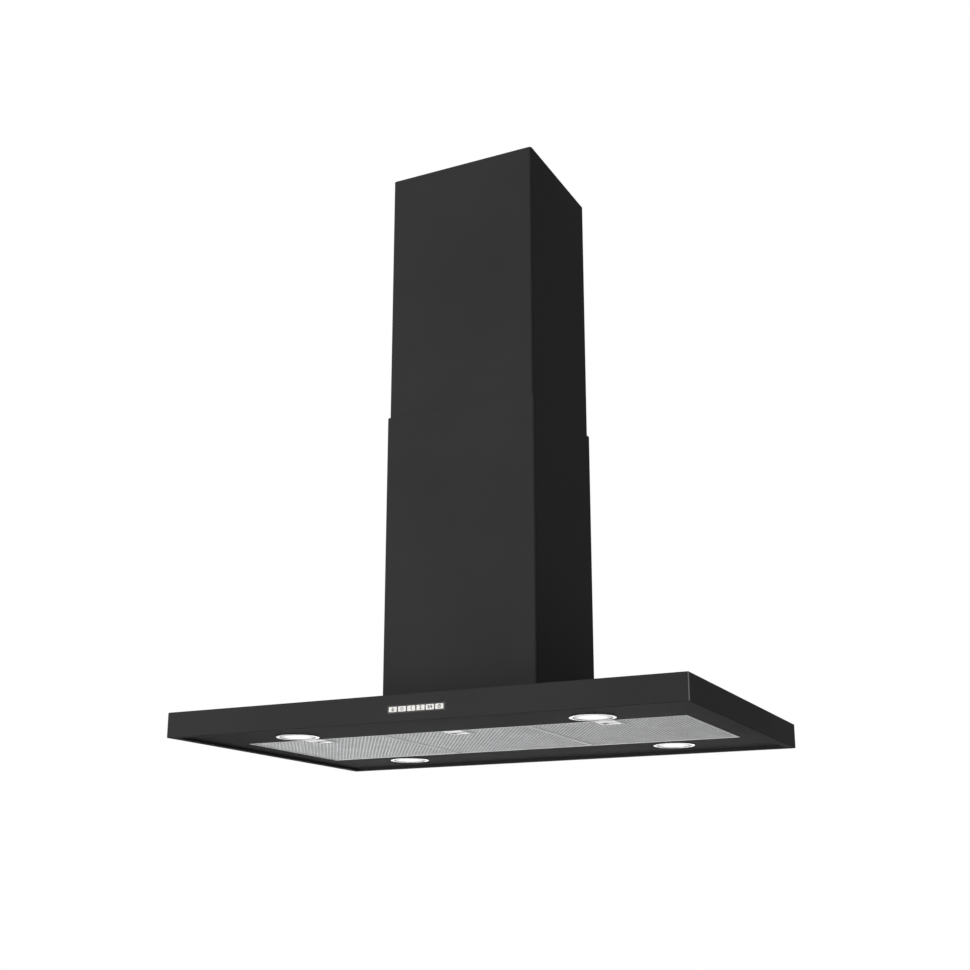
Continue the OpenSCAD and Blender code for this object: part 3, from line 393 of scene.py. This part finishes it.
def addPiece(name, bm, body, slot, material=None, replaced=(), degrees=40, weighted=True):
    sharpBy(bm, degrees)
    mesh = bpy.data.meshes.new(name)
    bm.to_mesh(mesh)
    bm.free()
    piece = bpy.data.objects.new(name, mesh)
    intoScene(piece)
    mesh.materials.append(material or finishes[slot])
    if weighted:
        shading = piece.modifiers.new("evenShading", "WEIGHTED_NORMAL")
        shading.keep_sharp = True
    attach(piece, body)
    if replaced:
        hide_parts(*replaced)
    return piece


def cadCopy(name):
    bm = bmesh.new()
    bm.from_mesh(nodes[name].data)
    bmesh.ops.remove_doubles(bm, verts=bm.verts[:], dist=sameSpot)
    limit = math.radians(flatDegrees)
    bmesh.ops.dissolve_limit(bm, angle_limit=limit, verts=bm.verts[:], edges=bm.edges[:])
    return bm


def joinInto(bm, part):
    mesh = bpy.data.meshes.new("part")
    part.to_mesh(mesh)
    part.free()
    bm.from_mesh(mesh)
    bpy.data.meshes.remove(mesh)


def roundEdges(bm, edges, width, segments=2):
    bmesh.ops.bevel(bm, geom=edges, offset=width, offset_type="OFFSET", affect="EDGES", segments=segments,
                    profile=0.5, material=-1, clamp_overlap=True)


def foldEdges(bm, test=None):
    limit = math.radians(foldDegrees)
    folds = [e for e in bm.edges
             if len(e.link_faces) == 2 and e.is_convex and e.calc_face_angle(0) > limit]
    return [e for e in folds if test is None or test(e.verts[0].co, e.verts[1].co)]


def rounded(name, newName, width, segments=2, test=None):
    bm = cadCopy(name)
    roundEdges(bm, foldEdges(bm, test), width, segments)
    return addPiece(newName, bm, bodyOfNode[name], slotOfNode[name], replaced=(name,))


# Canopy: the folds round its rim are rounded, and the upright corner folds get a lighter paint, a painted
# highlight
canopyParts = {
    "fold": 1.5 * mm,
    "foldSteps": 4,
    "near": 0.02 * mm,
    "cornerReach": 3.2 * mm,
    "cornerRadius": 3.1 * mm,
    "diagonal": 0.35,
}


def makeCanopy(s):
    low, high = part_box("canopy_shell")

    def outward(p):
        return max(abs(p.x) - high.x, abs(p.y) - high.y)

    def onRim(a, b):
        level = abs(a.z - b.z) < s["near"] and min(abs(a.z - low.z), abs(a.z - high.z)) < s["near"]
        return level and min(outward(a), outward(b)) > -s["cornerReach"]

    body = rounded("canopy_shell", "canopyBody", s["fold"], s["foldSteps"], onRim)
    body.data.materials.append(foldHighlightPaint)
    # faces of the upright corner folds take the lighter paint, a painted highlight
    for face in body.data.polygons:
        onSide = outward(face.center) > -s["cornerRadius"]
        upright = abs(face.normal.z) < s["diagonal"]
        if onSide and upright and min(abs(face.normal.x), abs(face.normal.y)) > s["diagonal"]:
            face.material_index = 1
    print("stage: canopy made")


makeCanopy(canopyParts)


# Filters: softened frames, expanded nets in two layers, and polished slide latches
filterParts = {
    "sides": ("left", "centre", "right"),
    "frameEdge": 0.2 * mm,
    "latchEdge": 0.6 * mm,
    "longWay": 11.0 * mm,
    "shortWay": 7.0 * mm,
    "strand": 2.7 * mm,
    "sheet": 0.5 * mm,
    "lean": 0.2,
    "layerStep": 3.2 * mm,
    "layerShift": (0.37, -0.21),
    "layers": 2,
    "overlap": 0.02 * mm,
    "cutNear": 1e-7,
    "cutSides": 8,
    "recessDepth": 6.0 * mm,
    "recessLip": 0.8 * mm,
    "recessNear": 0.2 * mm,
    "housingSide": 1.6 * mm,
    "housingRear": 7.4 * mm,
    "housingGap": 0.2 * mm,
}


def zigzagStrand(s, length):
    # one strand of the net along Y: a leaning section drawn out in steps
    bm = bmesh.new()
    unitSquare(bm, s["strand"], s["sheet"])
    turnAbout("X", math.radians(90), bm, bm.verts)
    turnAbout("Y", s["lean"], bm, bm.verts)
    end = bm.faces[:]
    for step in range(2 * math.ceil(length / s["longWay"])):
        grown = bmesh.ops.extrude_face_region(bm, geom=end)["geom"]
        end = [g for g in grown if isinstance(g, bmesh.types.BMFace)]
        rise = s["shortWay"] / 2 * (1 if step % 2 == 0 else -1)
        bmesh.ops.translate(bm, verts=end[0].verts[:], vec=(rise, s["longWay"] / 2, 0))
    return bm


def spread(bm, step, count):
    unit = bm.verts[:] + bm.edges[:] + bm.faces[:]
    for copy in range(1, count):
        made = bmesh.ops.duplicate(bm, geom=unit)["geom"]
        bmesh.ops.translate(bm, verts=vertsOf(made), vec=[v * copy for v in step])


def cutAt(s, bm, place, normal, clear):
    bmesh.ops.bisect_plane(bm, geom=bm.verts[:] + bm.edges[:] + bm.faces[:], plane_co=place,
                           plane_no=normal, clear_outer=clear, dist=s["cutNear"])


def netSheet(s, low, high, block, offset):
    bm = zigzagStrand(s, high.y - low.y + 2 * s["longWay"])
    made = bmesh.ops.duplicate(bm, geom=bm.verts[:] + bm.edges[:] + bm.faces[:])["geom"]
    half = s["shortWay"] / 2 - s["overlap"]
    bmesh.ops.translate(bm, verts=vertsOf(made), vec=(half, -s["longWay"] / 2, 0))
    rows = math.ceil((high.x - low.x) / (2 * half)) + 2
    spread(bm, (2 * half, 0, 0), rows)
    bmesh.ops.translate(bm, verts=bm.verts, vec=(low.x - s["shortWay"] + offset[0],
                                                 low.y - s["longWay"] / 2 + offset[1], offset[2]))
    for axis in range(2):
        side = Vector((1 - axis, axis, 0))
        cutAt(s, bm, low, -side, True)
        cutAt(s, bm, high, side, True)
    reach, rear = block
    middle = (low.x + high.x) / 2
    for x in (middle - reach, middle + reach):
        cutAt(s, bm, (x, 0, 0), (1, 0, 0), False)
    cutAt(s, bm, (0, rear, 0), (0, 1, 0), False)
    inside = [f for f in bm.faces if abs(f.calc_center_median().x - middle) < reach
              and f.calc_center_median().y < rear]
    bmesh.ops.delete(bm, geom=inside, context="FACES")
    bmesh.ops.holes_fill(bm, edges=[e for e in bm.edges if e.is_boundary], sides=s["cutSides"])
    return bm


def slideLatch(s, side):
    # the finger recess deepens from its front lip to a steep rear wall
    name = "latch_" + side
    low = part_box(name)[0]
    bm = cadCopy(name)
    roof = [v for v in bm.verts if abs(v.co.z - low.z - s["recessDepth"]) < s["recessNear"]]
    front = min(v.co.y for v in roof)
    for v in roof:
        if v.co.y < front + s["recessNear"]:
            v.co.z = low.z + s["recessLip"]
    roundEdges(bm, foldEdges(bm), s["latchEdge"], segments=3)
    addPiece(side + "Latch", bm, bodyOfNode[name], "latch_metal", replaced=(name,))


def makeFilters(s):
    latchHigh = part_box("latch_centre")[1]
    reach = latchHigh.x + s["housingSide"] + s["housingGap"]
    rear = latchHigh.y + s["housingRear"] + s["housingGap"]
    thick = s["strand"] * math.sin(s["lean"]) + s["sheet"] * math.cos(s["lean"])
    shift = s["layerShift"][0] * s["shortWay"], s["layerShift"][1] * s["longWay"]
    for side in s["sides"]:
        low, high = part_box("filter_mesh_" + side)
        net = bmesh.new()
        for layer in range(s["layers"]):
            lift = low.z + thick / 2 + layer * s["layerStep"]
            offset = (layer * shift[0], layer * shift[1], lift)
            joinInto(net, netSheet(s, low, high, (reach, rear), offset))
        addPiece(side + "Net", net, bodyOfNode["filter_mesh_" + side], "filter_mesh_metal",
                 replaced=("filter_mesh_" + side,), degrees=30, weighted=False)
        rounded("filter_frame_" + side, side + "FilterFrame", s["frameEdge"])
        slideLatch(s, side)
    print("stage: filters made")


makeFilters(filterParts)


# Turned shapes: a closed outline of radius and height points, spun about an upright axis
def turned(bm, outline, centre, steps):
    verts = [bm.verts.new((centre[0] + r, centre[1], centre[2] + z)) for r, z in outline]
    edges = [bm.edges.new(pair) for pair in zip(verts, verts[1:] + verts[:1])]
    bmesh.ops.spin(bm, geom=verts + edges, cent=centre, axis=(0, 0, 1), dvec=(0, 0, 0),
                   angle=math.tau, steps=steps, use_merge=True)


# Lamps: turned rings with a rolled edge, and slightly domed lenses
lampParts = {
    "ringRadius": lampRing,
    "ringDrop": 1.2 * mm,
    "tube": 32.6 * mm,
    "wall": 1.4 * mm,
    "height": 16 * mm,
    "roof": 1.4 * mm,
    "lensGap": 0.2 * mm,
    "seat": 29.4 * mm,
    "seatHeight": 1.2 * mm,
    "dome": 0.5 * mm,
    "domeSteps": 6,
    "edge": 0.45 * mm,
    "near": 0.01 * mm,
    "steps": 96,
}


def makeLamps(s):
    low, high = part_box("lamp_housings")
    lensLow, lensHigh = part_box("lamp_lenses")
    across, along = high.x - s["ringRadius"], high.y - s["ringRadius"]
    lensRadius = lensHigh.x - across
    face = low.z + s["ringDrop"]
    rings, lenses = bmesh.new(), bmesh.new()
    inner = lensRadius + s["lensGap"]
    bore, top, seatTop = s["tube"] - s["wall"], s["height"] + s["roof"], s["seatHeight"] + s["wall"]
    ring = [(inner, -s["ringDrop"]), (s["ringRadius"], -s["ringDrop"]), (s["ringRadius"], 0),
            (s["tube"], 0), (s["tube"], top), (0, top), (0, s["height"]), (bore, s["height"]),
            (bore, seatTop), (s["seat"], seatTop), (s["seat"], s["seatHeight"]), (inner, s["seatHeight"])]
    turns = [math.pi / 2 * k / s["domeSteps"] for k in range(s["domeSteps"] + 1)]
    dome = [(lensRadius * math.sin(turn), s["dome"] * (1 - math.cos(turn))) for turn in turns]
    dome += [(lensRadius, lensHigh.z - lensLow.z), (0, lensHigh.z - lensLow.z)]
    for x in (-across, across):
        for y in (-along, along):
            turned(rings, ring, (x, y, face), s["steps"])
            turned(lenses, dome, (x, y, lensLow.z), s["steps"])
    for bm in (rings, lenses):
        bmesh.ops.remove_doubles(bm, verts=bm.verts[:], dist=sameSpot)
        bmesh.ops.recalc_face_normals(bm, faces=bm.faces[:])
    outer = foldEdges(rings, lambda a, b: max(a.z, b.z) < face + s["near"])
    roundEdges(rings, outer, s["edge"], segments=3)
    addPiece("lampRings", rings, bodyOfNode["lamp_housings"], "lamp_metal", replaced=("lamp_housings",))
    addPiece("lampLenses", lenses, bodyOfNode["lamp_lenses"], "lamp_diffuser", replaced=("lamp_lenses",))
    print("stage: lamps made")


makeLamps(lampParts)


# Cover screws: low pan heads with a cross recess
screwParts = {
    "names": {"upper_chimney_screws": "upperCoverScrews", "lower_chimney_screws": "lowerCoverScrews"},
    "head": 1.5 * mm,
    "shank": 1.75 * mm,
    "crown": 0.62,
    "crownSteps": ((0.88, 0.8), (1.0, 0.35)),
    "slotHalf": 0.4 * mm,
    "slotReach": 1.6 * mm,
    "slotDepth": 0.9 * mm,
    "taper": 0.6,
}


def crossScrew(s, radius, length):
    # the crown is a grid with its rim drawn to a circle, and the rest grows down from that rim
    bm = bmesh.new()
    half, reach, crown = s["slotHalf"], s["slotReach"], radius * s["crown"]
    lines = (-crown, -reach, -half, half, reach, crown)
    cells = len(lines) - 1
    for v in bmesh.ops.create_grid(bm, x_segments=cells, y_segments=cells, size=cells / 2)["verts"]:
        column, row = round(v.co.x + cells / 2), round(v.co.y + cells / 2)
        v.co = (lines[column], lines[row], s["head"])
        if v.is_boundary:
            v.co.xy = v.co.xy.normalized() * crown
    cross = []
    for face in bm.faces:
        near, far = sorted(abs(v) for v in face.calc_center_median().xy)
        if far < reach and near < half / 2:
            cross.append(face)
    floor = vertsOf(bmesh.ops.extrude_face_region(bm, geom=cross)["geom"])
    bmesh.ops.translate(bm, verts=floor, vec=(0, 0, -s["slotDepth"]))
    bmesh.ops.scale(bm, verts=floor, vec=(s["taper"], s["taper"], 1))
    rim = [e for e in bm.edges if e.is_boundary]
    wide = crown
    outline = [(radius * share, s["head"] * rise) for share, rise in s["crownSteps"]]
    outline += [(radius, 0), (s["shank"], 0), (s["shank"], -length)]
    for size, z in outline:
        grown = bmesh.ops.extrude_edge_only(bm, edges=rim)["geom"]
        verts = vertsOf(grown)
        rim = [g for g in grown if isinstance(g, bmesh.types.BMEdge) and g.is_boundary]
        bmesh.ops.scale(bm, verts=verts, vec=(size / wide, size / wide, 1))
        for v in verts:
            v.co.z = z
        wide = size
    bmesh.ops.holes_fill(bm, edges=rim, sides=0)
    bmesh.ops.recalc_face_normals(bm, faces=bm.faces[:])
    turnAbout("X", -math.pi / 2, bm, bm.verts)
    return bm


def makeScrews(s):
    for node, name in s["names"].items():
        low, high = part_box(node)
        source = cadCopy(node)
        heads = {}
        for v in source.verts:
            if v.co.y > high.y - s["head"] / 2:
                heads.setdefault((v.co.x > 0, v.co.z > (low.z + high.z) / 2), []).append(v.co.copy())
        source.free()
        bm = bmesh.new()
        for rim in heads.values():
            left, right = min(p.x for p in rim), max(p.x for p in rim)
            bottom, top = min(p.z for p in rim), max(p.z for p in rim)
            screw = crossScrew(s, (right - left) / 2, high.y - low.y - s["head"])
            place = ((left + right) / 2, high.y - s["head"], (bottom + top) / 2)
            bmesh.ops.translate(screw, verts=screw.verts, vec=place)
            joinInto(bm, screw)
        addPiece(name, bm, bodyOfNode[node], slotOfNode[node], replaced=(node,))
    print("stage: screws made")


makeScrews(screwParts)


# Push buttons: softened caps that carry printed signs, a lamp, a ring, 1, 2, 3/4 and a clock
keyParts = {
    "edge": 0.5 * mm,
    "sink": 0.05 * mm,
    "frameEdge": 0.12 * mm,
    "line": 1.1 * mm,
    "bold": 0.28 * mm,
    "ring": 2.6 * mm,
    "clockRing": 2.86 * mm,
    "digits": {"1": 8.4 * mm, "2": 8.4 * mm, "3/4": 6.4 * mm},
    "steps": 32,
    "near": 0.1 * mm,
    "lampBars": (((0, 1.8), (0, 2.8)), ((-0.2, 1.8), (-2.2, -0.9)), ((0.2, 1.8), (2.2, -0.9)),
                 ((-2.4, -1.0), (2.4, -1.0)), ((-1.0, -2.3), (1.0, -2.3))),
    "clockBars": (((0, 0), (0, 1.3)), ((0, 0), (0.95, -0.5))),
}


def ringSign(bm, s, radius):
    outer = bmesh.ops.create_circle(bm, segments=s["steps"], radius=radius)["verts"]
    inner = bmesh.ops.create_circle(bm, segments=s["steps"], radius=radius - s["line"])["verts"]
    rims = dict.fromkeys(e for v in outer + inner for e in v.link_edges)
    bmesh.ops.bridge_loops(bm, edges=list(rims))


def barSigns(bm, s, bars):
    # straight strokes, each given by its two ends in millimetres
    for ends in bars:
        start, end = (Vector([v * mm for v in point]) for point in ends)
        way = end - start
        made = unitSquare(bm, way.length, s["line"])
        turnAbout("Z", math.atan2(way.y, way.x), bm, made)
        bmesh.ops.translate(bm, verts=made, vec=((start + end) / 2).to_3d())


def clockSign(bm, s):
    ringSign(bm, s, s["clockRing"])
    barSigns(bm, s, s["clockBars"])


def digitSign(bm, s, digits):
    curve = bpy.data.curves.new("digits", "FONT")
    curve.body = digits
    curve.align_x = "CENTER"
    curve.align_y = "CENTER"
    curve.size = s["digits"][digits]
    curve.offset = s["bold"]
    holder = bpy.data.objects.new("digits", curve)
    mesh = bpy.data.meshes.new_from_object(holder)
    bm.from_mesh(mesh)
    bpy.data.objects.remove(holder)
    bpy.data.meshes.remove(mesh)


def makeButtons(s):
    signs = {
        "button_light": ("lightKey", lambda bm: barSigns(bm, s, s["lampBars"])),
        "button_fan": ("fanKey", lambda bm: ringSign(bm, s, s["ring"])),
        "button_speed_1": ("speedOneKey", lambda bm: digitSign(bm, s, "1")),
        "button_speed_2": ("speedTwoKey", lambda bm: digitSign(bm, s, "2")),
        "button_speed_3": ("speedThreeKey", lambda bm: digitSign(bm, s, "3/4")),
        "button_timer": ("timerKey", lambda bm: clockSign(bm, s)),
    }
    for node, (name, draw) in signs.items():
        low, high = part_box(node)
        bm = cadCopy(node)
        rim = foldEdges(bm, lambda a, b: max(a.y, b.y) < low.y + s["near"])
        roundEdges(bm, rim, s["edge"], segments=3)
        bmesh.ops.translate(bm, verts=[v for v in bm.verts if v.co.y < low.y + s["sink"] / 2],
                            vec=(0, s["sink"], 0))
        addPiece(name, bm, bodyOfNode[node], "button_plastic", replaced=(node,))
        capMiddle = Vector(((low.x + high.x) / 2, low.y + s["sink"], (low.z + high.z) / 2))
        bm = bmesh.new()
        draw(bm)
        grown = bmesh.ops.extrude_face_region(bm, geom=bm.faces[:])["geom"]
        bmesh.ops.translate(bm, verts=vertsOf(grown), vec=(0, 0, s["sink"]))
        bmesh.ops.recalc_face_normals(bm, faces=bm.faces[:])
        turnAbout("X", math.radians(90), bm, bm.verts)
        bmesh.ops.translate(bm, verts=bm.verts, vec=capMiddle)
        addPiece(name + "Sign", bm, bodyOfNode[node], "black_plastic", printInk, degrees=30, weighted=False)
    rounded("switch_frame", "keyFrame", s["frameEdge"])
    print("stage: buttons made")


makeButtons(keyParts)


# Floor and studio light
studio = {
    "floorZ": -4.6,
    "floorSize": 50.0,
    "floorTone": 0.36,
    "floorRoughness": 0.9,
    "floorGlow": 0.65,
    "ambient": 0.2,
    "lights": {
        "keyFrontLeft": {"place": (-3.2, -5.0, -0.9), "size": 5.0, "watts": 440},
        "cornerRight": {"place": (2.6, -3.6, -0.8), "size": 0.8, "watts": 22},
        "fillRight": {"place": (2.6, -0.6, -2.0), "size": 1.2, "watts": 10},
        "backRear": {"place": (-1.8, 3.8, -0.4), "size": 2.6, "watts": 60},
    },
    "aim": (0, 0, -0.6),
}


def seenRay(tree):
    # 1 for what the camera sees straight, in a gloss or through glass
    rays = addNode(tree, "LightPath").outputs
    seen = rays["Is Camera Ray"]
    for other in ("Is Transmission Ray", "Is Glossy Ray"):
        seen = addNode(tree, "Math", {0: seen, 1: rays[other]}, operation="MAXIMUM").outputs[0]
    return seen


def makeStudio(s):
    world = bpy.data.worlds.new("paleStudio")
    bpy.context.scene.world = world
    world.use_nodes = True
    tree = world.node_tree
    strength = addNode(tree, "MapRange", {0: seenRay(tree), 3: s["ambient"], 4: 1.0}).outputs[0]
    tree.links.new(strength, tree.nodes["Background"].inputs["Strength"])
    tree.nodes["Background"].inputs["Color"].default_value = (1, 1, 1, 1)

    bm = bmesh.new()
    bmesh.ops.create_grid(bm, x_segments=1, y_segments=1, size=s["floorSize"] / 2)
    bmesh.ops.translate(bm, verts=bm.verts, vec=(0, 0, s["floorZ"]))
    mesh = bpy.data.meshes.new("paleFloor")
    bm.to_mesh(mesh)
    bm.free()
    floor = bpy.data.objects.new("paleFloor", mesh)
    intoScene(floor)
    material = bpy.data.materials.new("paleFloor")
    material.use_nodes = True
    tree = material.node_tree
    surface = tree.nodes["Principled BSDF"]
    surface.inputs["Base Color"].default_value = grey(s["floorTone"])
    surface.inputs["Roughness"].default_value = s["floorRoughness"]
    glow = addNode(tree, "Emission", {"Color": (1, 1, 1, 1), "Strength": 1.0})
    share = addNode(tree, "Math", {0: seenRay(tree), 1: s["floorGlow"]}, operation="MULTIPLY")
    blend = addNode(tree, "MixShader", {0: share.outputs[0], 1: surface.outputs[0], 2: glow.outputs[0]})
    tree.links.new(blend.outputs[0], tree.nodes["Material Output"].inputs["Surface"])
    mesh.materials.append(material)

    for name, light in s["lights"].items():
        data = bpy.data.lights.new(name, "AREA")
        data.shape = "SQUARE"
        data.size = light["size"]
        data.energy = light["watts"]
        lamp = bpy.data.objects.new(name, data)
        intoScene(lamp)
        lamp.location = light["place"]
        lamp.rotation_euler = (Vector(s["aim"]) - lamp.location).to_track_quat("-Z", "Y").to_euler()
    bpy.context.scene.view_settings.view_transform = "Standard"
    print("stage: studio made")


makeStudio(studio)
